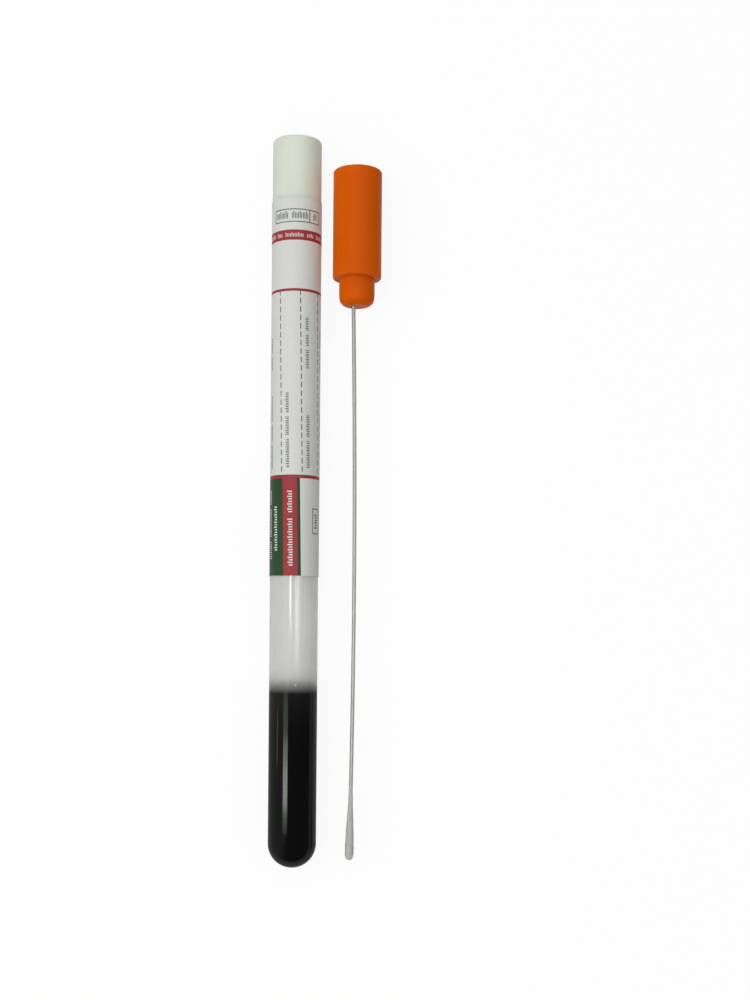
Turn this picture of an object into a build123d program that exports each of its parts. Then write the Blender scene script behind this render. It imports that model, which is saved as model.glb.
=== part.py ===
"""Specimen swab tube: a sealed tube of charcoal transport medium, with its loose swab lying beside it.

The tube lies along Y with its stopper towards +Y, and the swab lies parallel to it on the +X side.
Both rest on the plane Z = 0, and the origin is the centre of the whole set's footprint.
"""

import os

from build123d import *

# ---- Driving dimensions, in millimetres ----

# Tube: a straight wall on a concentric round bottom
tube_radius = 6.0
tube_length = 153.45
bore_radius = 4.48
rim_radius = 0.35

# Charcoal gel, set against the bore
gel_fill = 43.85
gel_meniscus = 0.7

# Cap moulding, the same for the tube's stopper and for the swab: a hollow body on a push-in plug
cap_over_tube = 0.05
cap_length = 26.75
cap_top_edge = 0.5
cap_shoulder_edge = 0.6
cap_wall = 1.95
cap_core_draft = 0.25
cap_core_edge = 0.35
plug_length = 6.7
plug_land_length = 3.6
plug_taper = 0.05
plug_nose_edge = 2.1
plug_wall = 1.6
plug_core_edge = 0.8
nose_wall = 1.7
shoulder_wall = 2.0

# Wrap label: one printed film, perforated where the tube meets its stopper
film_thickness = 0.12
film_lap_angle = 24.0
film_lap_start = 218.0
label_above_mouth = 11.6
label_below_mouth = 81.1
tear_gap = 0.1

# Swab: a wire bowed gently sideways, off the cap's centre line at both ends
swab_spacing = 15.05
swab_setback = 7.1
shaft_radius = 0.45
shaft_offset = -0.8
shaft_reach = 136.5
shaft_bow = 0.72
hub_radius = 1.5
hub_height = 8.0
shaft_past_hub = 0.8
socket_mouth_radius = 0.7
socket_mouth_depth = 0.7

# Fibre bud: a round tip, then thicknesses of fibre over the shaft at distances back from the tip
bud_tip_cover = 1.2
bud_length = 18.5
bud_full_fibre = 0.64
bud_waist_fibre = 0.35
bud_waist_at = 10.5
bud_end_fibre = 0.1

# Clearances
plug_clearance = 0.05
seat_gap = 0.05
gel_gap = 0.02
film_gap = 0.02
grip_gap = 0.02

# ---- Places that follow from them ----

cap_radius = tube_radius + cap_over_tube
cap_core_mouth_radius = cap_radius - cap_wall
cap_core_floor_radius = cap_core_mouth_radius - cap_core_draft
plug_radius = bore_radius - plug_clearance
plug_tip_radius = plug_radius - plug_taper
plug_core_radius = plug_radius - plug_wall
seal_inner_radius = cap_radius + film_gap
label_inner_radius = tube_radius + film_gap
widest_radius = seal_inner_radius + film_thickness

overall_length = tube_length + seat_gap + cap_length
overall_width = widest_radius + swab_spacing + cap_radius

tube_x = widest_radius - overall_width / 2
tube_z = widest_radius
swab_x = tube_x + swab_spacing
swab_z = cap_radius
tube_y = -overall_length / 2
mouth_y = tube_y + tube_length
stopper_shoulder_y = mouth_y + seat_gap
swab_shoulder_y = overall_length / 2 - swab_setback - cap_length
swab_nose_y = swab_shoulder_y - plug_length


def lying(x, y, z):
    """A plane through (x, y, z) whose own x runs along X and whose own y runs along Y."""
    return Plane(origin=(x, y, z), x_dir=(1, 0, 0), z_dir=(0, 0, 1))


def facing(x, y, z):
    """A plane through (x, y, z) that faces +Y."""
    return Plane(origin=(x, y, z), x_dir=(1, 0, 0), z_dir=(0, 1, 0))


def axis_of(plane):
    """The line through a lying plane's origin along Y."""
    return Axis(plane.origin, plane.y_dir)


def rings(part, radius):
    """The part's round edges of one radius, from the lowest Y to the highest."""
    round_edges = part.edges().filter_by(GeomType.CIRCLE)
    return round_edges.filter_by(lambda edge: abs(edge.radius - radius) < 1e-4).sort_by(Axis.Y)


# ---- Tube ----

tube_plane = lying(tube_x, tube_y, tube_z)

with BuildPart() as tube:
    with BuildSketch(tube_plane):
        with BuildLine():
            Line((0, 0), (0, tube_radius - bore_radius))
            CenterArc((0, tube_radius), bore_radius, -90, 90)
            Polyline(
                (bore_radius, tube_radius),
                (bore_radius, tube_length),
                (tube_radius, tube_length),
                (tube_radius, tube_radius),
            )
            CenterArc((0, tube_radius), tube_radius, -90, 90)
        make_face()
    revolve(axis=axis_of(tube_plane))
    fillet([rings(tube.part, bore_radius)[-1], rings(tube.part, tube_radius)[-1]], rim_radius)

tube.part.label = "tube"

# ---- Charcoal gel ----

gel_radius = bore_radius - gel_gap

with BuildPart() as charcoal_gel:
    with BuildSketch(tube_plane):
        with BuildLine():
            CenterArc((0, tube_radius), gel_radius, -90, 90)
            Line((gel_radius, tube_radius), (gel_radius, gel_fill + gel_meniscus))
            TangentArc((0, gel_fill), (gel_radius, gel_fill + gel_meniscus), tangent=(1, 0))
            Line((0, gel_fill), (0, tube_radius - gel_radius))
        make_face()
    revolve(axis=axis_of(tube_plane))

charcoal_gel.part.label = "charcoal_gel"


# ---- Caps ----


def cap_moulding(plane):
    """A hollow cap, open at its top, with a push-in plug below the shoulder that the plane lies on."""
    with BuildPart() as cap:
        with BuildSketch(plane):
            with BuildLine():
                Polyline(
                    (0, -plug_length),
                    (plug_tip_radius, -plug_length),
                    (plug_tip_radius, -plug_length + plug_nose_edge),
                    (plug_radius, -plug_land_length),
                    (plug_radius, 0),
                    (cap_radius, 0),
                    (cap_radius, cap_length),
                    (cap_core_mouth_radius, cap_length),
                    (cap_core_floor_radius, shoulder_wall),
                    (plug_core_radius, shoulder_wall),
                    (plug_core_radius, nose_wall - plug_length),
                    (0, nose_wall - plug_length),
                    close=True,
                )
            make_face()
        revolve(axis=axis_of(plane))
        fillet(rings(cap.part, plug_tip_radius)[0], plug_nose_edge - 0.01)
        fillet(rings(cap.part, cap_radius)[0], cap_shoulder_edge)
        fillet(rings(cap.part, cap_radius)[-1], cap_top_edge)
        fillet(rings(cap.part, cap_core_mouth_radius)[-1], cap_core_edge)
        fillet(rings(cap.part, plug_core_radius)[0], plug_core_edge)
    return cap.part


stopper_plane = lying(tube_x, stopper_shoulder_y, tube_z)

with BuildPart() as tube_stopper:
    add(cap_moulding(stopper_plane))

tube_stopper.part.label = "tube_stopper"

# ---- Swab shaft: a bowed wire, straight where the cap grips it ----

shaft_x = swab_x + shaft_offset
shaft_start = (shaft_x, swab_nose_y, swab_z)
shaft_middle = (shaft_x + shaft_bow, swab_nose_y - shaft_reach / 2, swab_z)
shaft_end = (shaft_x, swab_nose_y - shaft_reach, swab_z)
grip_length = nose_wall + hub_height + shaft_past_hub

with BuildLine() as shaft_path:
    bow = ThreePointArc(shaft_end, shaft_middle, shaft_start)
    PolarLine(shaft_start, grip_length, direction=bow % 1)


def along_shaft(radius):
    """A round rod of one radius along the shaft's whole path."""
    with BuildPart() as rod:
        with BuildSketch(Plane(origin=bow @ 0, z_dir=bow % 0)):
            Circle(radius)
        sweep(path=shaft_path.wires()[0])
    return rod.part


with BuildPart() as swab_shaft:
    add(along_shaft(shaft_radius))

swab_shaft.part.label = "swab_shaft"

# ---- Swab cap: the moulding, with a hub and socket for the shaft ----

swab_plane = lying(swab_x, swab_shoulder_y, swab_z)
hub_foot = facing(shaft_x, swab_nose_y + nose_wall, swab_z)
socket_mouth = facing(shaft_x, swab_nose_y, swab_z)

with BuildPart() as swab_cap:
    add(cap_moulding(swab_plane))
    with BuildSketch(hub_foot.offset(-nose_wall / 2)):
        Circle(hub_radius)
    extrude(amount=hub_height + nose_wall / 2)
    add(along_shaft(shaft_radius + grip_gap), mode=Mode.SUBTRACT)
    with BuildSketch(socket_mouth):
        Circle(socket_mouth_radius)
    extrude(amount=socket_mouth_depth, mode=Mode.SUBTRACT)

swab_cap.part.label = "swab_cap"

# ---- Swab bud: fibre wound round the shaft's end ----

bud_radius = shaft_radius + bud_full_fibre
bud_plane = Plane(origin=bow @ 0, x_dir=(bow % 0).cross(Vector(0, 0, 1)), z_dir=(0, 0, 1))

with BuildPart() as swab_bud:
    with BuildSketch(bud_plane):
        with BuildLine():
            full = (bud_radius, bud_radius - bud_tip_cover)
            waist = (shaft_radius + bud_waist_fibre, bud_waist_at - bud_tip_cover)
            neck = (shaft_radius + bud_end_fibre, bud_length - bud_tip_cover)
            CenterArc((0, full[1]), bud_radius, -90, 90)
            Spline(full, waist, neck, tangents=[(0, 1), (neck[0] - waist[0], neck[1] - waist[1])])
            Polyline(neck, (0, neck[1]), (0, -bud_tip_cover))
        make_face()
    revolve(axis=axis_of(bud_plane))
    add(along_shaft(shaft_radius + grip_gap), mode=Mode.SUBTRACT)

swab_bud.part.label = "swab_bud"


# ---- Wrap label ----


def wrapped_film(plane, inner_radius, length):
    """A ring of film whose far end laps over its near end. The plane faces +Y at the ring's lower end."""
    axis = Axis(plane.origin, plane.z_dir)
    lap_side = Plane(plane.origin, x_dir=plane.x_dir, z_dir=(0, 0, 1)).rotated((0, -film_lap_start, 0))
    with BuildPart() as film:
        with BuildSketch(plane):
            Circle(inner_radius + film_thickness)
            Circle(inner_radius, mode=Mode.SUBTRACT)
        extrude(amount=length)
        with BuildSketch(lap_side):
            with Locations((inner_radius + 1.25 * film_thickness, length / 2)):
                Rectangle(1.5 * film_thickness, length)
        revolve(axis=axis, revolution_arc=-film_lap_angle)
    return film.part


seal_plane = facing(tube_x, mouth_y + tear_gap, tube_z)
label_plane = facing(tube_x, mouth_y - label_below_mouth, tube_z)

with BuildPart() as seal_label:
    add(wrapped_film(seal_plane, seal_inner_radius, label_above_mouth - tear_gap))

seal_label.part.label = "seal_label"

with BuildPart() as tube_label:
    add(wrapped_film(label_plane, label_inner_radius, label_below_mouth))

tube_label.part.label = "tube_label"

# ---- Export ----

os.makedirs("parts", exist_ok=True)
pieces = [
    (tube, "tube"),
    (charcoal_gel, "charcoal_gel"),
    (tube_stopper, "tube_stopper"),
    (seal_label, "seal_label"),
    (tube_label, "tube_label"),
    (swab_cap, "swab_cap"),
    (swab_shaft, "swab_shaft"),
    (swab_bud, "swab_bud"),
]
for piece, name in pieces:
    export_step(piece.part, f"parts/{name}.step")
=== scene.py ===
"""Specimen swab tube: its looks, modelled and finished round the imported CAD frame.

Every piece is in metres in the frame's own axes: the tube and the swab lie along Y, their caps
towards +Y, with +Z up and the floor at Z = 0. Angles round a piece start at its top and grow
towards +X.
"""

import math

import bpy
import numpy as np
from mathutils import Matrix, Vector


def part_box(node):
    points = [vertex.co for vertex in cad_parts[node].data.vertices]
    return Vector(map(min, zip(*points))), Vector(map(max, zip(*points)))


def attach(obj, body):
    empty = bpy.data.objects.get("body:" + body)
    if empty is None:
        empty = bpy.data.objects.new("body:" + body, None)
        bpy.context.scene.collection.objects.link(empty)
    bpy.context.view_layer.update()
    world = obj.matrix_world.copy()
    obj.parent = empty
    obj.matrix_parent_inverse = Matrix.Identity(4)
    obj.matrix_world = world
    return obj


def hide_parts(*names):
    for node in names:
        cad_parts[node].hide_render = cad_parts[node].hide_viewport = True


bl_info = {
    "name": "Specimen Swab Tube",
    "version": (1, 0, 0),
    "blender": (4, 5, 0),
    "location": "3D View > Sidebar > Swab Tube",
    "description": "A sealed tube of charcoal transport medium with its loose swab",
    "category": "Add Mesh",
}

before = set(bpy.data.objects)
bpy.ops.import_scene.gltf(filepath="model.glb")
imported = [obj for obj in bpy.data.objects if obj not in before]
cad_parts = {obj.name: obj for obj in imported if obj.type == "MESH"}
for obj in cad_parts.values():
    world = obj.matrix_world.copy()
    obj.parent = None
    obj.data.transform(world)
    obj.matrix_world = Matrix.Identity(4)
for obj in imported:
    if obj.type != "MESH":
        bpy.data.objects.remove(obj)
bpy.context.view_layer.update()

MM = 0.001


# ---- Places read from the frame ----


def round_node(name):
    """The axis X and Z, radius, lowest Y and highest Y of a round CAD node that lies along Y."""
    low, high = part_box(name)
    radius = round((high[2] - low[2]) / 2, 5)
    return (low[0] + high[0]) / 2, (low[2] + high[2]) / 2, radius, low[1], high[1]


TUBE_X, TUBE_Z, TUBE_RADIUS, TUBE_END, MOUTH = round_node("tube")
_, _, GEL_RADIUS, _, GEL_BRIM = round_node("charcoal_gel")
_, _, SEAL_RADIUS, _, SEAL_TOP = round_node("seal_label")
_, _, LABEL_RADIUS, LABEL_LOW, LABEL_TOP = round_node("tube_label")
SWAB_X, SWAB_Z, _, NOSE, _ = round_node("swab_cap")
WIRE_END, WIRE_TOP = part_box("swab_shaft")[0][1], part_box("swab_shaft")[1][1]
BUD_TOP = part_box("swab_bud")[1][1]

# The fibre is fluffed out this far past the tip of its CAD solid.
TIP_FLUFF = 0.12 * MM
BUD_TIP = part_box("swab_bud")[0][1] - TIP_FLUFF

# The gel's CAD solid stands this far off the bore, which gives the tube's wall.
GEL_GAP = 0.02 * MM
WALL_MM = (TUBE_RADIUS - GEL_RADIUS - GEL_GAP) / MM

# The biggest bubble clings to the wall at this turn, this far above the gel's brim.
BUBBLE_TURN = math.radians(8.8)
BUBBLE_LIFT = 1.05 * MM

# ---- Sizes and colours that a user would change ----


def linear(hex_colour):
    """An sRGB hex colour as linear red, green, blue and alpha."""
    parts = [int(hex_colour[start:start + 2], 16) / 255 for start in (0, 2, 4)]
    light = [part / 12.92 if part <= 0.04045 else ((part + 0.055) / 1.055) ** 2.4 for part in parts]
    return (*light, 1.0)


def colour_property(name, description, hex_colour):
    """A colour that a user can change, its default given as sRGB hex."""
    return bpy.props.FloatVectorProperty(
        name=name, description=description, default=linear(hex_colour),
        subtype="COLOR", size=4, min=0, max=1,
    )


def length_property(name, description, millimetres):
    """A length that a user can change, its default given in millimetres."""
    return bpy.props.FloatProperty(
        name=name, description=description, default=millimetres * MM,
        min=0, unit="LENGTH", precision=5,
    )


class TubeSettings(bpy.types.PropertyGroup):
    """The tube and its gel."""

    wall: length_property("Wall", "Thickness of the tube's wall", WALL_MM)
    rim: length_property("Rim", "Rounding of the tube's mouth", 0.35)
    smear: length_property("Smear", "How far residue climbs the wall above the gel's brim", 2.2)
    plastic: colour_property("Plastic", "Tint of the clear polypropylene", "f0f0ee")
    gel: colour_property("Gel", "Charcoal gel", "060706")
    residue: colour_property("Residue", "Thin charcoal film on the wall above the gel", "3a3b3c")


class LabelSettings(bpy.types.PropertyGroup):
    """The wrap label's film and inks."""

    film: length_property("Film", "Thickness of the label film", 0.12)
    skew: bpy.props.FloatProperty(
        name="Skew", description="Turn of the wrap, put on a little askew, for each metre of tube",
        default=math.radians(-170), subtype="ANGLE",
    )
    white: colour_property("Film colour", "White film without print", "e1e2dd")
    red: colour_property("Red", "Red ink", "a5363c")
    green: colour_property("Green", "Green ink", "2e4a2f")
    line: colour_property("Line", "Dark ink of rules and small print", "4f5b50")


class SwabSettings(bpy.types.PropertyGroup):
    """The swab's wire and bud."""

    wire_radius: length_property("Wire radius", "Half the wire's diameter", 0.48)
    wire_offset: length_property("Wire offset", "How far the wire is off the plug's middle", 0.8)
    wire_bow: length_property("Wire bow", "How far the wire's middle bows sideways", 0.72)
    bud_radius: length_property("Bud radius", "Half the bud's width at its fullest", 1.09)
    bud_neck: length_property("Bud neck", "Radius where the fibre tapers off on the wire", 0.5)
    wire: colour_property("Wire colour", "Drawn aluminium", "b0aeaa")
    fibre: colour_property("Fibre colour", "Wound fibre", "cbcbc6")


class CapSettings(bpy.types.PropertyGroup):
    """Both caps' colours."""

    white: colour_property("Stopper", "Natural white polyethylene", "e6ebde")
    orange: colour_property("Swab cap", "Orange polyethylene", "dd6200")


class StageSettings(bpy.types.PropertyGroup):
    """Camera and floor."""

    camera_x: bpy.props.FloatProperty(
        name="Camera X", description="Where the camera stands across the set",
        default=0.0128, unit="LENGTH",
    )
    camera_y: bpy.props.FloatProperty(
        name="Camera Y", description="Where the camera stands along the set",
        default=-0.0309, unit="LENGTH",
    )
    camera_height: bpy.props.FloatProperty(
        name="Camera height", description="Height over the tube's centre line",
        default=0.326, unit="LENGTH",
    )
    camera_roll: bpy.props.FloatProperty(
        name="Camera roll", description="Turn of the camera about its own line of sight",
        default=math.radians(0.47), subtype="ANGLE",
    )
    paper: colour_property("Floor", "The paper that the set lies on", "b4b4b2")


class SwabTubeSettings(bpy.types.PropertyGroup):
    """Everything that the panel shows."""

    tube: bpy.props.PointerProperty(type=TubeSettings, name="Tube", description="Tube and gel")
    label: bpy.props.PointerProperty(type=LabelSettings, name="Label", description="Wrap label")
    swab: bpy.props.PointerProperty(type=SwabSettings, name="Swab", description="Wire and bud")
    caps: bpy.props.PointerProperty(type=CapSettings, name="Caps", description="Both caps")
    stage: bpy.props.PointerProperty(type=StageSettings, name="Stage", description="Camera, floor")


# ---- Surfaces ----


def arc(centre_r, centre_y, radius, start, end, count):
    """Profile points (centre_r + radius cos t, centre_y + radius sin t).

    The turn t goes from start to end in degrees.
    """
    turn = np.radians(np.linspace(start, end, count))
    return np.stack([centre_r + radius * np.cos(turn), centre_y + radius * np.sin(turn)], axis=1)


def line(start, end, count):
    """Profile points evenly spaced on a straight line, without its two ends."""
    share = np.linspace(0, 1, count + 2)[1:-1, None]
    return np.asarray(start) * (1 - share) + np.asarray(end) * share


def grid_faces(rows, columns, round_rows=False):
    """Quads between neighbours in a grid whose last column joins its first.

    With round_rows its last row joins its first too.
    """
    row = np.arange(rows if round_rows else rows - 1)[:, None]
    column = np.arange(columns)[None, :]
    above = (row + 1) % rows * columns
    after = (column + 1) % columns
    corners = [row * columns + column, row * columns + after, above + after, above + column]
    return np.stack([corner.ravel() for corner in corners], axis=1)


def carried(path, radius, segments, side=(1, 0, 0)):
    """Points and faces of a closed skin carried along a path.

    The point at angle a round path point p is p + radius (side sin a + up cos a), with up along Z.
    The path's first and last points are the skin's two poles, each joined to its nearest ring by
    triangles. The radius is one number for each inner path point, or one for each point and angle.
    """
    rows = len(path) - 2
    angle = np.linspace(0, 2 * np.pi, segments, endpoint=False)
    side = np.broadcast_to(side, path.shape)[1:-1, None, :]
    up = np.array([0, 0, 1])
    reach = np.broadcast_to(np.asarray(radius).reshape(rows, -1), (rows, segments))[..., None]
    outward = side * np.sin(angle)[None, :, None] + up * np.cos(angle)[None, :, None]
    rings = path[1:-1, None, :] + reach * outward
    points = np.concatenate([rings.reshape(-1, 3), path[:1], path[-1:]])
    count = rows * segments
    first = np.arange(segments)
    last = np.arange(count - segments, count)
    faces = [
        *grid_faces(rows, segments).tolist(),
        *np.stack([np.full(segments, count), np.roll(first, -1), first], axis=1).tolist(),
        *np.stack([np.full(segments, count + 1), last, np.roll(last, -1)], axis=1).tolist(),
    ]
    return points, faces


def turned(profile, segments):
    """Points and faces of a profile of (radius, Y) points turned about the tube's centre line."""
    still = np.ones(len(profile))
    path = np.stack([TUBE_X * still, profile[:, 1], TUBE_Z * still], axis=1)
    return carried(path, profile[1:-1, 0], segments)


# Edges that bend by more than this stay crisp under smooth shading.
SHARP_BEND = math.radians(40)


def make_piece(name, points, faces, materials, body):
    """A smooth mesh piece that rides on a body."""
    mesh = bpy.data.meshes.new(name)
    mesh.from_pydata(points.tolist(), [], faces)
    for material in materials:
        mesh.materials.append(material)
    mesh.shade_smooth()
    mesh.set_sharp_from_angle(angle=SHARP_BEND)
    piece = bpy.data.objects.new(name, mesh)
    bpy.context.scene.collection.objects.link(piece)
    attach(piece, body)
    return piece


# ---- Materials ----


def add_node(tree, kind, inputs=(), output=0, **settings):
    """Adds a node of one kind and gives back one of its outputs.

    Inputs pair a socket's name or number with a value or with another node's output.
    """
    node = tree.nodes.new(kind)
    for setting, value in settings.items():
        setattr(node, setting, value)
    for socket, value in dict(inputs).items():
        if isinstance(value, bpy.types.NodeSocket):
            tree.links.new(value, node.inputs[socket])
        else:
            node.inputs[socket].default_value = value
    return node.outputs[output] if node.outputs else None


def start_material(name):
    """A material's empty node tree and its Object coordinates."""
    material = bpy.data.materials.new(name)
    material.use_nodes = True
    tree = material.node_tree
    tree.nodes.clear()
    return material, tree, add_node(tree, "ShaderNodeTexCoord", output="Object")


def finish_material(tree, inputs):
    """Ends a material in one Principled shader with these inputs."""
    shader = add_node(tree, "ShaderNodeBsdfPrincipled", inputs)
    add_node(tree, "ShaderNodeOutputMaterial", {"Surface": shader})


def grain(tree, coordinates, sizes_mm, detail=3.0):
    """A pattern whose grains measure sizes_mm along X, Y and Z.

    Nearly all of it lies between 0.3 and 0.7.
    """
    scale = Vector(1 / (size * MM) for size in sizes_mm)
    mapped = add_node(tree, "ShaderNodeMapping", {"Vector": coordinates, "Scale": scale})
    return add_node(tree, "ShaderNodeTexNoise", {"Vector": mapped, "Scale": 1.0, "Detail": detail})


def shaded(colour, factor):
    """A colour with its red, green and blue multiplied."""
    return (*(min(1.0, part * factor) for part in tuple(colour)[:3]), 1.0)


# Socket numbers of the Mix node's two colours and of its colour output
FIRST, SECOND, MIXED = 6, 7, 2


def clear_polypropylene(settings):
    """Injection-moulded clear polypropylene: glossy, and cloudy where its wall is dry.

    What lies behind the dry wall only glows through, crossed by long flow streaks from the mouth to
    the bottom. Where gel wets the wall it takes the gel's black, a little greyer towards the brim.
    Above the gel a torn film of charcoal residue greys the wall, with haze over it. Round one
    bubble the film is left out: a clear, lighter spot that is partly painted highlight for the
    bubble's glint.
    """
    material, tree, coordinates = start_material("clear_polypropylene")
    streaks = grain(tree, coordinates, (0.7, 40, 0.7))
    ripple = grain(tree, coordinates, (2.0, 9, 2.0), detail=1.0)
    fingers = grain(tree, coordinates, (1.6, 5, 1.6))
    along = add_node(tree, "ShaderNodeSeparateXYZ", {"Vector": coordinates}, "Y")

    smear = settings.smear
    torn = add_node(
        tree, "ShaderNodeMath", {0: fingers, 1: -0.8 * smear, 2: along}, operation="MULTIPLY_ADD"
    )
    film = add_node(tree, "ShaderNodeMapRange", {
        "Value": torn, "From Min": GEL_BRIM - 0.4 * smear, "From Max": GEL_BRIM + 0.95 * smear,
        "To Min": 0.38, "To Max": 0.0,
    }, interpolation_type="SMOOTHSTEP")
    haze = add_node(tree, "ShaderNodeMapRange", {
        "Value": along, "From Min": GEL_BRIM, "From Max": GEL_BRIM + 2.6 * smear,
        "To Min": 0.19, "To Max": 0.0,
    }, interpolation_type="SMOOTHSTEP")
    bubble = Vector((
        TUBE_X + TUBE_RADIUS * math.sin(BUBBLE_TURN),
        GEL_BRIM + BUBBLE_LIFT,
        TUBE_Z + TUBE_RADIUS * math.cos(BUBBLE_TURN),
    ))
    from_bubble = add_node(
        tree, "ShaderNodeVectorMath", {0: coordinates, 1: bubble}, "Value", operation="DISTANCE"
    )
    # The residue is left out round the biggest bubble: a lighter spot, partly painted highlight for
    # the bubble's glint.
    bubble_gap_and_highlight = add_node(tree, "ShaderNodeMapRange", {
        "Value": from_bubble, "From Min": 0.15 * MM, "From Max": 0.45 * MM,
    }, interpolation_type="SMOOTHSTEP")
    film_and_haze = add_node(tree, "ShaderNodeMath", {0: film, 1: haze}, operation="ADD")
    residue = add_node(
        tree, "ShaderNodeMath", {0: film_and_haze, 1: bubble_gap_and_highlight}, operation="MULTIPLY"
    )

    clear = add_node(tree, "ShaderNodeMix", {
        "Factor": streaks,
        FIRST: shaded(settings.plastic, 0.9),
        SECOND: shaded(settings.plastic, 1.1),
    }, MIXED, data_type="RGBA")
    above_gel = add_node(tree, "ShaderNodeMix", {
        "Factor": residue, FIRST: clear, SECOND: settings.residue,
    }, MIXED, data_type="RGBA")
    thinning = add_node(tree, "ShaderNodeMapRange", {
        "Value": along, "From Min": GEL_BRIM - 10 * MM, "From Max": GEL_BRIM,
        "To Min": 0.0, "To Max": 0.009,
    })
    wet = add_node(tree, "ShaderNodeMix", {
        "Factor": thinning, FIRST: settings.gel, SECOND: settings.plastic,
    }, MIXED, data_type="RGBA")
    dry = add_node(tree, "ShaderNodeMapRange", {
        "Value": along, "From Min": GEL_BRIM - 1.3 * MM, "From Max": GEL_BRIM + 1.6 * MM,
    }, interpolation_type="SMOOTHSTEP")
    finish_material(tree, {
        "Base Color": add_node(tree, "ShaderNodeMix", {
            "Factor": dry, FIRST: wet, SECOND: above_gel,
        }, MIXED, data_type="RGBA"),
        "Roughness": 0.25,
        "Transmission Weight": add_node(tree, "ShaderNodeMapRange", {
            "Value": dry, "To Min": 0.0, "To Max": 0.62,
        }),
        "IOR": 1.49,
        "Specular IOR Level": 0.0,
        "Specular Tint": linear("383838"),
        "Coat Weight": 0.26,
        "Coat Roughness": 0.07,
        "Coat IOR": 1.49,
        "Normal": add_node(tree, "ShaderNodeBump", {
            "Height": ripple, "Distance": 0.02 * MM, "Strength": 0.3,
        }),
    })
    return material


def charcoal_gel(settings):
    """Agar gel full of charcoal powder: nearly black and faintly green.

    Its shine is all the wet wall's own.
    """
    material, tree, coordinates = start_material("charcoal_gel")
    clouds = grain(tree, coordinates, (1.2, 4, 1.2))
    # Charcoal powder is finer than 0.05 mm. It is drawn at 0.12 mm, to show.
    powder = grain(tree, coordinates, (0.12, 0.12, 0.12))
    finish_material(tree, {
        "Base Color": add_node(tree, "ShaderNodeMix", {
            "Factor": clouds, FIRST: settings.gel, SECOND: shaded(settings.gel, 2.0),
        }, MIXED, data_type="RGBA"),
        "Roughness": add_node(tree, "ShaderNodeMapRange", {
            "Value": clouds, "To Min": 0.2, "To Max": 0.4,
        }),
        "IOR": 1.34,
        "Specular IOR Level": 0.0,
        "Normal": add_node(tree, "ShaderNodeBump", {
            "Height": powder, "Distance": 0.01 * MM, "Strength": 0.4,
        }),
    })
    return material


def trapped_air(settings):
    """Air bubbles pressed against the wall: bright little mirrors in the dark gel."""
    material, tree, coordinates = start_material("trapped_air")
    skin = grain(tree, coordinates, (0.2, 0.2, 0.2))
    finish_material(tree, {
        # The bubbles' grey colour is painted reflection: air has no colour, and only its shine
        # makes a bubble bright.
        "Base Color": add_node(tree, "ShaderNodeMix", {
            "Factor": skin,
            FIRST: shaded(settings.plastic, 0.35),
            SECOND: shaded(settings.plastic, 0.7),
        }, MIXED, data_type="RGBA"),
        "Roughness": 0.12,
        "Normal": add_node(tree, "ShaderNodeBump", {
            "Height": skin, "Distance": 0.01 * MM, "Strength": 0.3,
        }),
    })
    return material


def moulded_polyethylene(name, colour, gloss):
    """Injection-moulded low-density polyethylene: waxy, a little see-through and satin.

    A weak sheen pales its edges, as the wax on its skin does.
    """
    material, tree, coordinates = start_material(name)
    cloud = grain(tree, coordinates, (4, 9, 4))
    # An etched mould leaves pebbles of about 0.1 mm. They are drawn at 0.35 mm, to show.
    pebble = grain(tree, coordinates, (0.35, 0.35, 0.35), detail=4.0)
    finish_material(tree, {
        "Base Color": add_node(tree, "ShaderNodeMix", {
            "Factor": cloud, FIRST: shaded(colour, 0.94), SECOND: shaded(colour, 1.06),
        }, MIXED, data_type="RGBA"),
        "Roughness": add_node(tree, "ShaderNodeMapRange", {
            "Value": pebble, "To Min": 0.34, "To Max": 0.58,
        }),
        "IOR": 1.51,
        "Specular IOR Level": gloss,
        "Sheen Weight": 0.12,
        "Sheen Roughness": 0.3,
        "Subsurface Weight": 1.0,
        "Subsurface Radius": (1.0, 0.7, 0.5),
        "Subsurface Scale": 2.5 * MM,
        "Normal": add_node(tree, "ShaderNodeBump", {
            "Height": pebble, "Distance": 0.02 * MM, "Strength": 0.5,
        }),
    })
    return material


def printed_film(name, colour):
    """Flexo-printed polypropylene label film: even satin, its ink a little mottled by the film."""
    material, tree, coordinates = start_material(name)
    # Ink mottles over some 0.2 mm. It is drawn at 0.5 to 0.7 mm, to show.
    mottle = grain(tree, coordinates, (0.5, 0.7, 0.5), detail=4.0)
    wave = grain(tree, coordinates, (3, 8, 3), detail=1.0)
    finish_material(tree, {
        "Base Color": add_node(tree, "ShaderNodeMix", {
            "Factor": mottle, FIRST: shaded(colour, 0.92), SECOND: shaded(colour, 1.06),
        }, MIXED, data_type="RGBA"),
        "Roughness": add_node(tree, "ShaderNodeMapRange", {
            "Value": mottle, "To Min": 0.36, "To Max": 0.56,
        }),
        "IOR": 1.49,
        "Specular IOR Level": 0.15,
        "Normal": add_node(tree, "ShaderNodeBump", {
            "Height": wave, "Distance": 0.06 * MM, "Strength": 0.5,
        }),
    })
    return material


def drawn_aluminium(settings):
    """Drawn aluminium wire: bright grey, its highlights spread across it by the die's streaks."""
    material, tree, coordinates = start_material("aluminium_wire")
    # A die's scratches are about 0.02 mm wide. They are drawn at 0.06 mm, to show.
    streaks = grain(tree, coordinates, (0.06, 5, 0.06), detail=4.0)
    dull = grain(tree, coordinates, (0.5, 3, 0.5))
    finish_material(tree, {
        "Base Color": add_node(tree, "ShaderNodeMix", {
            "Factor": dull, FIRST: shaded(settings.wire, 0.85), SECOND: shaded(settings.wire, 1.05),
        }, MIXED, data_type="RGBA"),
        "Metallic": 1.0,
        "Roughness": add_node(tree, "ShaderNodeMapRange", {
            "Value": streaks, "To Min": 0.4, "To Max": 0.7,
        }),
        "Normal": add_node(tree, "ShaderNodeBump", {
            "Height": streaks, "Distance": 0.01 * MM, "Strength": 0.5,
        }),
    })
    return material


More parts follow.
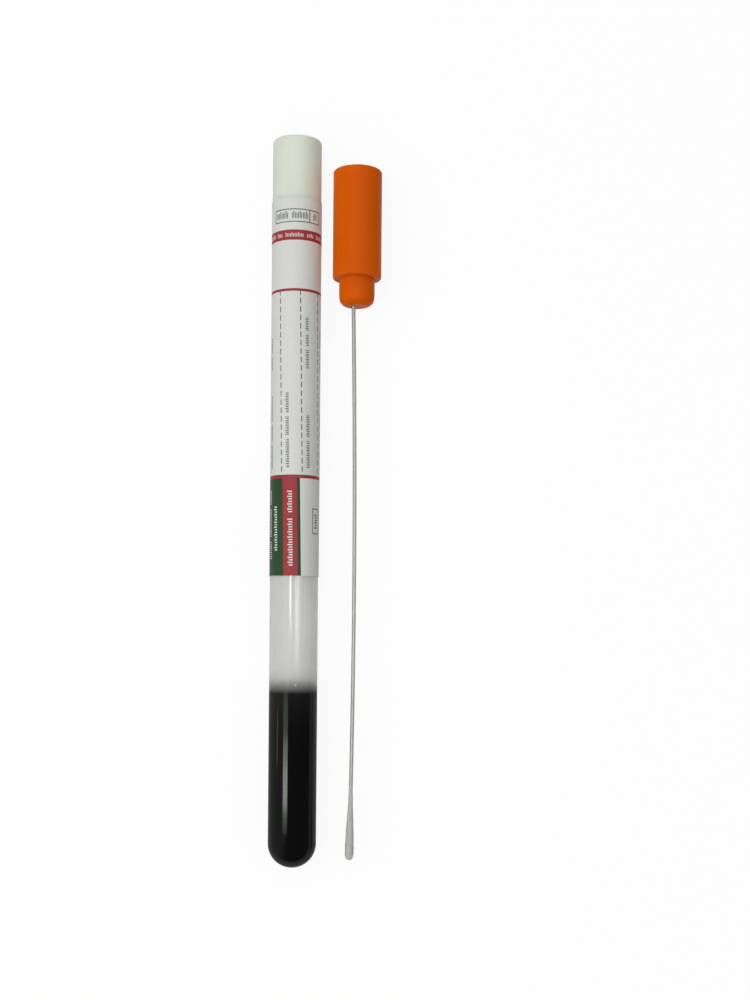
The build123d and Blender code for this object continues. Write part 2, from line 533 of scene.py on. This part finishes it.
def wound_fibre(settings):
    """Viscose fibre wound tightly on the wire: dull, dense and a little silky along the strands."""
    material, tree, coordinates = start_material("wound_fibre")
    # Viscose fibre is 0.015 mm thick. It is drawn at 0.07 mm, to show.
    strands = grain(tree, coordinates, (0.07, 0.9, 0.07), detail=5.0)
    tufts = grain(tree, coordinates, (0.6, 1.4, 0.6))
    # The colour darkens where the strands' bump sinks into grooves: painted shade between the
    # strands, over the fibres' own uneven tone.
    strand_tone_and_groove_shade = add_node(tree, "ShaderNodeMix", {
        "Factor": strands,
        FIRST: shaded(settings.fibre, 0.74),
        SECOND: shaded(settings.fibre, 1.04),
    }, MIXED, data_type="RGBA")
    finish_material(tree, {
        "Base Color": add_node(tree, "ShaderNodeMix", {
            "Factor": tufts, FIRST: strand_tone_and_groove_shade, SECOND: shaded(settings.fibre, 0.92),
        }, MIXED, data_type="RGBA"),
        "Roughness": 0.85,
        "Sheen Weight": 0.15,
        "Sheen Roughness": 0.5,
        "Normal": add_node(tree, "ShaderNodeBump", {
            "Height": strands, "Distance": 0.05 * MM, "Strength": 0.8,
        }),
    })
    return material


# ---- Tube and gel ----

# Points round the tube and the gel
SEGMENTS = 128

# Points along each stretch of the tube's and gel's profiles
QUARTER_POINTS, WALL_POINTS, RIM_POINTS, GEL_WALL_POINTS, DISH_POINTS = 25, 40, 7, 60, 14

# How far the drawn gel reaches into the wall, so that no air shows between them
WETTED = 0.02 * MM

# How far the gel's middle lies below its brim
DISH = 0.7 * MM


def tube_profile(settings):
    """Up the outside from the bottom's pole, over the rounded mouth and down the bore to its pole.

    The wall is straight, and the bottom is two quarter circles about one centre.
    """
    outer, bore, rim = TUBE_RADIUS, TUBE_RADIUS - settings.wall, settings.rim
    centre = TUBE_END + outer
    return np.concatenate([
        arc(0, centre, outer, -90, 0, QUARTER_POINTS),
        line((outer, centre), (outer, MOUTH - rim), WALL_POINTS),
        arc(outer - rim, MOUTH - rim, rim, 0, 90, RIM_POINTS),
        arc(bore + rim, MOUTH - rim, rim, 90, 180, RIM_POINTS),
        line((bore, MOUTH - rim), (bore, centre), WALL_POINTS),
        arc(0, centre, bore, 0, -90, QUARTER_POINTS),
    ])


def gel_profile(settings):
    """A round-bottomed slug that wets the wall, under a dished top.

    At share s of its radius the top lies dish (1 - s squared) below the brim.
    """
    wetted = TUBE_RADIUS - settings.wall + WETTED
    centre = TUBE_END + TUBE_RADIUS
    share = np.linspace(1, 0, DISH_POINTS)
    top = np.stack([wetted * share, GEL_BRIM - DISH * (1 - share ** 2)], axis=1)
    return np.concatenate([
        arc(0, centre, wetted, -90, 0, QUARTER_POINTS),
        line((wetted, centre), (wetted, GEL_BRIM), GEL_WALL_POINTS),
        top,
    ])


def bubbles(count, rings, segments, wall_radius):
    """Points and faces of small ellipsoids pressed flat on the wall round the gel's brim.

    Each is centre + size (sin b sin a across, 1.3 cos b along Y, 0.5 sin b cos a outwards). Here
    b goes from 0 to 180 degrees down the rings, and a goes round them. The first is the biggest, at
    its own place.
    """
    chance = np.random.default_rng(5)
    where = chance.uniform(-math.pi, math.pi, count)
    where[0] = BUBBLE_TURN
    along = GEL_BRIM - chance.uniform(0.1, 3.5, count) * MM
    along[0] = GEL_BRIM + BUBBLE_LIFT
    size = chance.uniform(0.06, 0.16, count) * MM
    size[0] = 0.2 * MM
    down = np.linspace(0.02, np.pi - 0.02, rings)[None, :, None]
    angle = np.linspace(0, 2 * np.pi, segments, endpoint=False)[None, None, :]
    size = size[:, None, None]
    turn = where[:, None, None] + size * np.sin(down) * np.sin(angle) / wall_radius
    height = along[:, None, None] + 1.3 * size * np.cos(down) + 0 * angle
    radius = wall_radius + 0.5 * size * np.sin(down) * np.cos(angle)
    points = np.stack(
        [TUBE_X + radius * np.sin(turn), height, TUBE_Z + radius * np.cos(turn)], axis=-1
    )
    first = np.arange(count)[:, None] * rings * segments
    sides = (grid_faces(rings, segments)[None, :, ::-1] + first[:, :, None]).reshape(-1, 4)
    tops = first + np.arange(segments)
    bottoms = first + (rings - 1) * segments + np.arange(segments)[::-1]
    return points.reshape(-1, 3), [*sides.tolist(), *tops.tolist(), *bottoms.tolist()]


class SWABTUBE_OT_tube(bpy.types.Operator):
    """Makes the clear tube"""

    bl_idname = "swab_tube.tube"
    bl_label = "Tube"

    def execute(self, context):
        settings = context.scene.swab_tube.tube
        skin = turned(tube_profile(settings), SEGMENTS)
        piece = make_piece("clear_tube", *skin, [clear_polypropylene(settings)], "root")
        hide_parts("tube")
        return {"FINISHED"}


class SWABTUBE_OT_gel(bpy.types.Operator):
    """Makes the charcoal gel and the air bubbles trapped in it"""

    bl_idname = "swab_tube.gel"
    bl_label = "Gel"

    def execute(self, context):
        settings = context.scene.swab_tube.tube
        skin = turned(gel_profile(settings), SEGMENTS)
        gel = make_piece("gel_column", *skin, [charcoal_gel(settings)], "root")
        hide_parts("charcoal_gel")
        skins = bubbles(count=16, rings=7, segments=10, wall_radius=TUBE_RADIUS - settings.wall)
        air = make_piece("air_bubbles", *skins, [trapped_air(settings)], "root")
        return {"FINISHED"}


# ---- Labels ----

# The inks' places in a label's list of materials
FILM, RED, GREEN, LINE = range(4)

# The height above the tube's bottom, in millimetres, at which the print's angles are given. The
# wrap's skew turns it elsewhere.
PRINT_LEVEL = 97.3

# The wrap's outer end lies over its inner end between these angles.
LAP_START, LAP_END = 208.0, 232.0

# A field of print is its ink, its left and right edges in degrees, and its low and high edges in
# millimetres above the tube's bottom. A later field covers an earlier one.


def dashes(angle, low, high):
    """A dashed writing line that runs along the tube."""
    pitch, dash, half_width = 2.06, 1.4, 1.15
    starts = np.arange(low, high, pitch)
    return [(LINE, angle - half_width, angle + half_width, start, start + dash) for start in starts]


def outline(ink, left, right, low, high):
    """A frame of thin rules. Rules along the tube are as thick as those round it."""
    thick = 0.22
    across = math.degrees(thick * MM / LABEL_RADIUS)
    return [
        (ink, left, right, low, low + thick),
        (ink, left, right, high - thick, high),
        (ink, left, left + across, low, high),
        (ink, right - across, right, low, high),
    ]


def small_print(ink, angle, tall, low, words, pitch=0.42):
    """Plain bars in place of words that run along the tube.

    Each word is a number of bars, some of them taller.
    """
    half = tall / 2
    fields = []
    bar = 0
    for bars in words:
        for number in range(bars):
            reach = half * (1.3 if (number * 7 + bars) % 5 < 2 else 0.8)
            place = low + pitch * bar
            fields.append((ink, angle - reach, angle + half, place, place + 0.5 * pitch))
            bar += 1
        bar += 2
    return fields


def round_print(ink, low, high, start, words, pitch=3.6):
    """Plain bars in place of words that run round the tube from a starting angle."""
    fields = []
    bar = 0
    for bars in words:
        for number in range(bars):
            rise = (high - low) * (0.3 if (number * 5 + bars) % 4 == 0 else 0.0)
            place = start + pitch * bar
            fields.append((ink, place, place + 0.5 * pitch, low, high + rise))
            bar += 1
        bar += 2
    return fields


def seal_print():
    """A two-cell frame with bars in it, over a red band with light bars."""
    fields = [
        *outline(LINE, -42.5, 74.9, 158.75, 162.0),
        *outline(LINE, 43.5, 74.9, 158.75, 162.0),
        *round_print(LINE, 159.65, 161.05, -37.0, (9, 11)),
        *round_print(LINE, 159.65, 161.05, 55.0, (3,)),
        (RED, -180, 540, 154.37, 156.87),
        *round_print(FILM, 155.15, 155.95, -128.0, (6, 5, 9, 4, 12, 5, 8, 4, 7, 6)),
    ]
    return fields


def form_print():
    """A form of dashed lines with captions, over a panel of red, green and white fields."""
    spacing = 48.9
    first = -77.3
    lines = [first + spacing * number for number in range(5)]
    captions = [(14, 10, 15), (17, 11, 12), (16, 13), (12, 19), (10, 12, 9)]
    upper = [(8, 9), None, (11, 7, 8), (12, 10), None]
    fields = [(RED, -180, 540, 141.9, 142.55)]
    for angle, lower_words, upper_words in zip(lines, captions, upper):
        fields += dashes(angle, 97.7, 141.0)
        fields += small_print(LINE, angle + 15.5, 7.5, 98.8, lower_words)
        if upper_words:
            fields += small_print(LINE, angle + 15.5, 7.5, 123.16, upper_words)
    for row in range(5):
        fields += small_print(LINE, 143 + 12 * row, 6.0, 98.8, (15 - row, 8, 21, 7, 17 - row, 10))
    fields += [
        (GREEN, -180, -26.2, 72.3, 96.2),
        (GREEN, 208, 540, 72.3, 96.2),
        (RED, -26.2, 7.5, 72.3, 96.2),
        (GREEN, 7.5, 15.2, 72.3, 96.2),
        (RED, -180, 540, 96.2, 97.05),
        *small_print(FILM, -8.5, 10.0, 74.8, (19, 9), 0.62),
        *small_print(FILM, -47.0, 9.0, 78.52, (18,), 0.62),
        *small_print(FILM, -68.5, 7.0, 76.5, (9, 14, 7), 0.5),
        *outline(LINE, 47.0, 73.0, 82.7, 89.0),
        *small_print(LINE, 60.0, 10.0, 84.1, (6,), 0.62),
        *outline(LINE, 100.0, 122.0, 76.0, 92.0),
        *small_print(LINE, 140.0, 7.0, 76.0, (8, 14, 6), 0.5),
        *small_print(LINE, 154.0, 7.0, 76.0, (12, 9), 0.5),
    ]
    return fields


def wrapped_label(name, low, high, outer_radius, tail_radius, fields, inks, settings, body):
    """A ring of film whose outer end laps over its inner end, cut into cells at its print's edges.

    Outside it is a circle of the outer radius, plus one film's thickness over the lap, which starts
    in a smooth ramp and ends in a cut edge. Towards its lower edge the film draws in to the tail
    radius. The whole wrap turns by the skew for each metre of height. The hidden inside lies one
    film's thickness further in, and has a row for every 24 of the outside's.
    """
    # The ramp and the cut are in degrees, and the tail is in millimetres.
    ramp, cut, tail = 2.5, 0.06, 0.8
    base = TUBE_END / MM
    edges = np.array([field[1:] for field in fields])
    angles = np.concatenate([
        edges[:, :2].ravel(),
        np.arange(-126, 232, 3),
        (LAP_START - ramp, LAP_START, LAP_END - 360 + cut, LAP_END),
    ])
    angles = np.unique(angles.round(2))
    angles = angles[(angles >= LAP_END - 360 + cut) & (angles <= LAP_END)]
    foot, head = low / MM - base, high / MM - base
    heights = np.concatenate([edges[:, 2:].ravel(), np.arange(foot, head, 2.0)])
    heights = np.clip(heights, foot, head).round(3)
    ends = np.append(foot + np.linspace(0, tail, 6), head)
    heights = np.unique(np.append(heights, ends).round(3))
    inside = np.unique(np.append(heights[::24], ends).round(3))[::-1]

    rise = np.clip((angles - LAP_START + ramp) / ramp, 0, 1)
    height = np.concatenate([heights, inside])[:, None] * MM
    drawn_in = np.clip(1 - (height / MM - heights[0]) / tail, 0, 1)
    middle = outer_radius - (outer_radius - tail_radius) * drawn_in ** 2 * (3 - 2 * drawn_in)
    outside = np.arange(len(height))[:, None] < len(heights)
    lift = np.where(outside, rise ** 2 * (3 - 2 * rise), -1.0)
    radius = middle + settings.film * lift
    turn = np.radians(angles)[None, :] + settings.skew * (height - PRINT_LEVEL * MM)
    points = np.stack([
        TUBE_X + radius * np.sin(turn),
        TUBE_END + height + 0 * turn,
        TUBE_Z + radius * np.cos(turn),
    ], axis=-1)
    faces = grid_faces(len(height), len(angles), round_rows=True)
    piece = make_piece(name, points.reshape(-1, 3), faces.tolist(), inks, body)

    mid_angle = (angles + np.roll(angles, -1)) / 2
    mid_height = np.append((heights[:-1] + heights[1:]) / 2, np.full(len(inside) + 1, -1.0))
    ink = np.zeros((len(height), len(angles)), dtype=np.int32)
    for colour, left, right, bottom, top in fields:
        rows = (mid_height > bottom) & (mid_height < top)
        columns = (mid_angle > left) & (mid_angle < right)
        ink[np.ix_(rows, columns)] = colour
    piece.data.polygons.foreach_set("material_index", ink.ravel())
    return piece


class SWABTUBE_OT_labels(bpy.types.Operator):
    """Makes the printed wrap label and its upper strip, which seals the stopper"""

    bl_idname = "swab_tube.labels"
    bl_label = "Labels"

    def execute(self, context):
        settings = context.scene.swab_tube.label
        inks = [
            printed_film("label_film", settings.white),
            printed_film("red_ink", settings.red),
            printed_film("green_ink", settings.green),
            printed_film("line_ink", settings.line),
        ]
        # The wrap parts here, just past the tube's mouth, when the stopper is pulled.
        tear = MOUTH + 0.01 * MM
        seal = wrapped_label(
            "seal_film", tear, SEAL_TOP, SEAL_RADIUS, LABEL_RADIUS,
            seal_print(), inks, settings, "stopper",
        )
        form = wrapped_label(
            "form_film", LABEL_LOW, LABEL_TOP, LABEL_RADIUS, LABEL_RADIUS,
            form_print(), inks, settings, "root",
        )
        for piece, node in ((seal, "seal_label"), (form, "tube_label")):
            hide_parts(node)
        return {"FINISHED"}


# ---- Caps ----


class SWABTUBE_OT_caps(bpy.types.Operator):
    """Gives both caps their moulded finish"""

    bl_idname = "swab_tube.caps"
    bl_label = "Caps"

    def execute(self, context):
        settings = context.scene.swab_tube.caps
        finishes = {
            "tube_stopper": moulded_polyethylene(
                "white_polyethylene", settings.white, gloss=0.25
            ),
            "swab_cap": moulded_polyethylene(
                "orange_polyethylene", settings.orange, gloss=0.05
            ),
        }
        for name, material in finishes.items():
            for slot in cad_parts[name].material_slots:
                slot.material = material
        return {"FINISHED"}


# ---- Swab ----


def wire_line(y, settings):
    """The wire's centre line: a circular arc from its end to the plug's nose, then straight on.

    With chord L and bow b the arc's radius is R = (L squared / 4 + b squared) / 2b. Its X at a
    distance d from the middle is the chord's X + b - R + the root of (R squared - d squared). Each
    point's side is square to the line there.
    """
    chord = NOSE - WIRE_END
    bow = settings.wire_bow
    radius = (chord ** 2 / 4 + bow ** 2) / (2 * bow)
    from_middle = np.minimum(y, NOSE) - (WIRE_END + NOSE) / 2
    drop = np.sqrt(radius ** 2 - from_middle ** 2)
    lean = -from_middle / drop
    x = SWAB_X - settings.wire_offset + bow - radius + drop + lean * np.maximum(y - NOSE, 0)
    length = np.sqrt(1 + lean ** 2)
    path = np.stack([x, y, np.full(len(y), SWAB_Z)], axis=1)
    side = np.stack([1 / length, -lean / length, np.zeros(len(y))], axis=1)
    return path, side


def bud_radius(back, settings):
    """The bud's radius at a distance back from its tip.

    Up to its fullest it is a superellipse, whose exponent is the bluntness. Behind that a squared
    cosine falls to the neck.
    """
    bluntness = 2.4
    full_at = 1.7 * MM
    ahead = np.clip(1 - back / full_at, 0, 1)
    front = settings.bud_radius * (1 - ahead ** bluntness) ** (1 / bluntness)
    behind = np.clip((back - full_at) / (BUD_TOP - BUD_TIP - full_at), 0, 1)
    swell = settings.bud_radius - settings.bud_neck
    rear = settings.bud_neck + swell * np.cos(np.pi / 2 * behind) ** 2
    return np.where(back < full_at, front, rear)


def wound_bud(settings):
    """The bud's skin, with helical ridges where turns of fibre lie beside each other.

    Its radius is the bud's, less (0.03 - 0.012 w) of it. Here w is a sum of three waves round the
    bud, which wind along it at their own pitches.
    """
    segments, tip_rows, rows = 96, 24, 220
    y = np.concatenate([
        BUD_TIP + np.linspace(0, 1, tip_rows) ** 2 * MM,
        np.linspace(BUD_TIP + 1.08 * MM, BUD_TOP, rows),
    ])
    path, side = wire_line(y, settings)
    back = (y - BUD_TIP)[1:-1, None]
    angle = np.linspace(0, 2 * np.pi, segments, endpoint=False)[None, :]
    turns = back / MM
    ridges = (
        np.sin(5 * angle + 2.3 * turns)
        + 0.7 * np.sin(8 * angle - 3.1 * turns + 1)
        + np.sin(angle + 0.9 * turns)
    )
    smooth = bud_radius(back, settings)
    return carried(path, smooth - (0.03 - 0.012 * ridges) * smooth, segments, side)


def stray_fibres(count, settings):
    """Loose fibres that leave the bud's skin at a slant, each a thin three-sided tube.

    A fibre starts at height s and angle a on the skin. At share t of its length it is at height
    s + length t and angle a + twist t, and lift t squared off the skin. They are drawn twice as
    thick as real fibre, to show.
    """
    chance = np.random.default_rng(11)
    steps, sides, foot_radius = 7, 3, 0.016 * MM
    start = chance.uniform(0.3, 16.5, (count, 1)) * MM
    length = chance.uniform(0.8, 2.2, (count, 1)) * MM
    around = chance.uniform(0, 2 * np.pi, (count, 1))
    twist = chance.normal(0, 0.8, (count, 1))
    lift = chance.uniform(0.02, 0.22, (count, 1)) * MM
    share = np.linspace(0, 1, steps)[None, :]
    y = BUD_TIP + start + length * share
    angle = around + twist * share
    centre, side = wire_line(y.ravel(), settings)
    radius = (bud_radius(y - BUD_TIP, settings) - 0.02 * MM + lift * share ** 2).ravel()[:, None]
    flat_angle = angle.ravel()[:, None]
    outward = side * np.sin(flat_angle) + np.array([0, 0, 1]) * np.cos(flat_angle)
    middle = centre + radius * outward
    across = np.cross(outward, (0, 1, 0))
    corner = np.linspace(0, 2 * np.pi, sides, endpoint=False)[None, :, None]
    thin = foot_radius * np.linspace(1, 0.4, steps)[None, :, None, None]
    ring = (across[:, None, :] * np.sin(corner) + outward[:, None, :] * np.cos(corner)).reshape(
        count, steps, sides, 3
    )
    points = middle.reshape(count, steps, 1, 3) + thin * ring
    one = grid_faces(steps, sides)[:, ::-1]
    first = np.arange(count)[:, None] * steps * sides
    tubes = (one[None] + first[:, :, None]).reshape(-1, 4)
    feet = first + np.arange(sides)
    tips = first + (steps - 1) * sides + np.arange(sides)[::-1]
    return points.reshape(-1, 3), [*tubes.tolist(), *feet.tolist(), *tips.tolist()]


class SWABTUBE_OT_swab(bpy.types.Operator):
    """Makes the swab's bowed wire and its wound bud"""

    bl_idname = "swab_tube.swab"
    bl_label = "Swab"

    def execute(self, context):
        settings = context.scene.swab_tube.swab
        # The wire's cut ends are bevelled by this much.
        edge = 0.08 * MM
        rows = 240
        y = np.concatenate([
            (WIRE_END, WIRE_END, WIRE_END + edge),
            np.linspace(WIRE_END + 1 * MM, WIRE_TOP - 1 * MM, rows),
            (WIRE_TOP - edge, WIRE_TOP, WIRE_TOP),
        ])
        radius = np.full(len(y) - 2, settings.wire_radius)
        radius[[0, -1]] -= edge
        path, side = wire_line(y, settings)
        skin = carried(path, radius, segments=32, side=side)
        wire = make_piece("wire", *skin, [drawn_aluminium(settings)], "root")
        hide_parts("swab_shaft")
        fibre = wound_fibre(settings)
        bud = make_piece("fibre_bud", *wound_bud(settings), [fibre], "root")
        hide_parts("swab_bud")
        fibres = stray_fibres(count=260, settings=settings)
        strays = make_piece("stray_fibres", *fibres, [fibre], "root")
        return {"FINISHED"}


# ---- Stage ----

WHITE = (1, 1, 1, 1)

# The paper's half width and half length
PAPER_HALF = 3.0

# The lamps that only reflections show: name, place, width, length, radiance and colour
GLINTS = (
    ("narrow_strip", (-0.207, 0.04, 0.9), 0.15, 0.12, 38.0, (0.95, 0.98, 1.0)),
    ("wide_strip", (0.329, 0.0225, 0.9), 0.4, 0.155, 13.0, (0.95, 0.98, 1.0)),
    ("leafy_window", (-0.486, -0.157, 0.8), 0.36, 0.132, 4.0, (0.8, 1.0, 0.78)),
    ("window_pane", (-0.486, -0.17, 0.8), 0.36, 0.067, 9.5, (0.8, 1.0, 0.78)),
    ("sunlit_pane", (-0.486, -0.181, 0.8), 0.36, 0.04, 9.5, (0.8, 1.0, 0.78)),
    ("door_gap", (-0.93, -0.137, 0.25), 0.05, 0.05, 8.0, (1.0, 0.88, 0.75)),
)


def add_lamp(name, place, width, length, radiance, colour=(1, 1, 1)):
    """A flat lamp that faces the set, its width across the set and its length along it.

    Its power is pi times its area times the radiance that a mirror would see.
    """
    light = bpy.data.lights.new(name, "AREA")
    light.shape = "RECTANGLE"
    light.size = width
    light.size_y = length
    light.energy = math.pi * width * length * radiance
    light.color = colour
    lamp = bpy.data.objects.new(name, light)
    lamp.location = place
    back = Vector(place).normalized()
    across = Vector((0, 1, 0)).cross(back).normalized()
    lamp.rotation_euler = Matrix((across, back.cross(across), back)).transposed().to_euler()
    bpy.context.scene.collection.objects.link(lamp)
    return lamp


def ray_share(tree, kinds):
    """1 for a ray of one of these kinds, and 0 for any other."""
    share = 0.0
    for kind in kinds:
        is_kind = add_node(tree, "ShaderNodeLightPath", output=f"Is {kind} Ray")
        share = add_node(tree, "ShaderNodeMath", {0: is_kind, 1: share}, operation="MAXIMUM")
    return share


def white_paper(settings):
    """Matt white paper: seen directly it is white, with the set's soft shadow left on it."""
    material, tree, coordinates = start_material("white_paper")
    # A paper's tooth is about 0.1 mm. It is drawn at 0.6 mm, to show.
    tooth = grain(tree, coordinates, (0.6, 0.6, 0.6))
    colour = add_node(tree, "ShaderNodeMix", {
        "Factor": tooth, FIRST: shaded(settings.paper, 0.98), SECOND: shaded(settings.paper, 1.02),
    }, MIXED, data_type="RGBA")
    lit = add_node(tree, "ShaderNodeBsdfDiffuse", {"Color": colour})
    glow = add_node(tree, "ShaderNodeEmission", {"Color": WHITE, "Strength": 1.14})
    # A fifth of what is seen is the lit paper, which carries the shadow.
    seen = add_node(tree, "ShaderNodeMixShader", {0: 0.2, 1: glow, 2: lit})
    share = ray_share(tree, ("Camera", "Glossy", "Transmission"))
    mixed = add_node(tree, "ShaderNodeMixShader", {0: share, 1: lit, 2: seen})
    add_node(tree, "ShaderNodeOutputMaterial", {"Surface": mixed})
    return material


def studio_world():
    """A room that lights the set from its pale ceiling and fades almost to nothing at the horizon.

    Glossy surfaces mirror it as dim, with a pale wall on the left. It is white where the camera
    looks past the floor, directly or through the tube.
    """
    world = bpy.data.worlds.new("studio")
    world.use_nodes = True
    tree = world.node_tree
    tree.nodes.clear()
    direction = add_node(tree, "ShaderNodeTexCoord", output="Generated")
    across = add_node(tree, "ShaderNodeSeparateXYZ", {"Vector": direction}, "X")
    up = add_node(tree, "ShaderNodeSeparateXYZ", {"Vector": direction}, "Z")
    lighting = add_node(tree, "ShaderNodeMapRange", {"Value": up, "To Min": 0.06, "To Max": 0.87})
    mirrored = add_node(tree, "ShaderNodeMapRange", {
        "Value": across, "From Min": -0.3, "From Max": -0.8, "To Min": 0.25, "To Max": 0.9,
    }, interpolation_type="SMOOTHSTEP")
    level = add_node(tree, "ShaderNodeMix", {
        "Factor": ray_share(tree, ("Glossy",)), "A": lighting, "B": mirrored,
    })
    room = add_node(tree, "ShaderNodeBackground", {"Color": WHITE, "Strength": level})
    white = add_node(tree, "ShaderNodeBackground", {"Color": WHITE, "Strength": 1.0})
    share = ray_share(tree, ("Camera", "Transmission"))
    mixed = add_node(tree, "ShaderNodeMixShader", {0: share, 1: room, 2: white})
    add_node(tree, "ShaderNodeOutputWorld", {"Surface": mixed})
    return world


class SWABTUBE_OT_stage(bpy.types.Operator):
    """Sets the camera overhead, the lamps, the room and the paper floor"""

    bl_idname = "swab_tube.stage"
    bl_label = "Stage"

    def execute(self, context):
        settings = context.scene.swab_tube.stage
        context.scene.view_settings.view_transform = "Standard"
        context.scene.world = studio_world()

        half = PAPER_HALF
        corners = [(-half, -half, 0), (half, -half, 0), (half, half, 0), (-half, half, 0)]
        mesh = bpy.data.meshes.new("floor")
        mesh.from_pydata(corners, [], [(0, 1, 2, 3)])
        mesh.materials.append(white_paper(settings))
        floor = bpy.data.objects.new("floor", mesh)
        context.scene.collection.objects.link(floor)

        softbox = add_lamp("softbox", (-0.6, -0.1, 0.8), width=0.9, length=0.9, radiance=1.54)
        softbox.visible_glossy = False
        for glint in GLINTS:
            add_lamp(*glint).visible_diffuse = False

        camera_data = bpy.data.cameras.new("camera")
        camera_data.lens = 47.16
        camera_data.shift_y = 0.13
        camera_data.clip_start = 0.01
        camera = bpy.data.objects.new("camera", camera_data)
        camera.location = (settings.camera_x, settings.camera_y, TUBE_Z + settings.camera_height)
        camera.rotation_euler = (0, 0, settings.camera_roll)
        context.scene.collection.objects.link(camera)
        context.scene.camera = camera
        return {"FINISHED"}


# ---- Panel ----

OPERATORS = (
    SWABTUBE_OT_stage,
    SWABTUBE_OT_tube,
    SWABTUBE_OT_gel,
    SWABTUBE_OT_caps,
    SWABTUBE_OT_labels,
    SWABTUBE_OT_swab,
)


class SWABTUBE_PT_panel(bpy.types.Panel):
    """Lists the set's sizes, its colours and what makes each piece"""

    bl_idname = "SWABTUBE_PT_panel"
    bl_label = "Specimen Swab Tube"
    bl_space_type = "VIEW_3D"
    bl_region_type = "UI"
    bl_category = "Swab Tube"

    def draw(self, context):
        settings = context.scene.swab_tube
        for group in (settings.tube, settings.label, settings.swab, settings.caps, settings.stage):
            box = self.layout.box()
            for name in group.__annotations__:
                box.prop(group, name)
        for operator in OPERATORS:
            self.layout.operator(operator.bl_idname)


CLASSES = (
    TubeSettings,
    LabelSettings,
    SwabSettings,
    CapSettings,
    StageSettings,
    SwabTubeSettings,
    *OPERATORS,
    SWABTUBE_PT_panel,
)


def register():
    for cls in CLASSES:
        bpy.utils.register_class(cls)
    bpy.types.Scene.swab_tube = bpy.props.PointerProperty(type=SwabTubeSettings)


def unregister():
    del bpy.types.Scene.swab_tube
    for cls in reversed(CLASSES):
        bpy.utils.unregister_class(cls)


def main():
    register()
    bpy.ops.swab_tube.stage()
    bpy.ops.swab_tube.tube()
    bpy.ops.swab_tube.gel()
    bpy.ops.swab_tube.caps()
    bpy.ops.swab_tube.labels()
    bpy.ops.swab_tube.swab()


if __name__ == "__main__":
    main()
